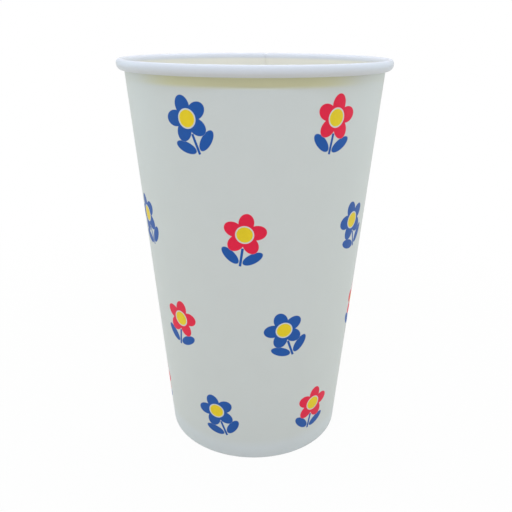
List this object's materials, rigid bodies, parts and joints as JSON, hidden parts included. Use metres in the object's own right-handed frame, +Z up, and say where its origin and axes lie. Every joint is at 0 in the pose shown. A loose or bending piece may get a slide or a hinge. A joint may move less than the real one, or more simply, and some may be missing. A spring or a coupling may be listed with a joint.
{
  "type": "tapered paper cup",
  "caption": "Tapered paper cup with a rolled rim, a lapped side seam and a recessed flat bottom, open at the top to hold a drink.",
  "frame": {"origin": "centre of the ring that the cup stands on, in the plane of the table", "axes": "+Z up the cup's axis to the open rim, +Y towards the lap seam at the back of the side wall, +X to the right seen from the front"},
  "size_m": [0.09, 0.09, 0.136],
  "materials": {
    "printed_board": "satin coated white board with a small printed repeat in red, blue and yellow",
    "plain_board": "plain coated white board"
  },
  "bodies": {
    "root": {"side_wall": "printed_board", "bottom_disc": "plain_board"}
  },
  "joints": []
}
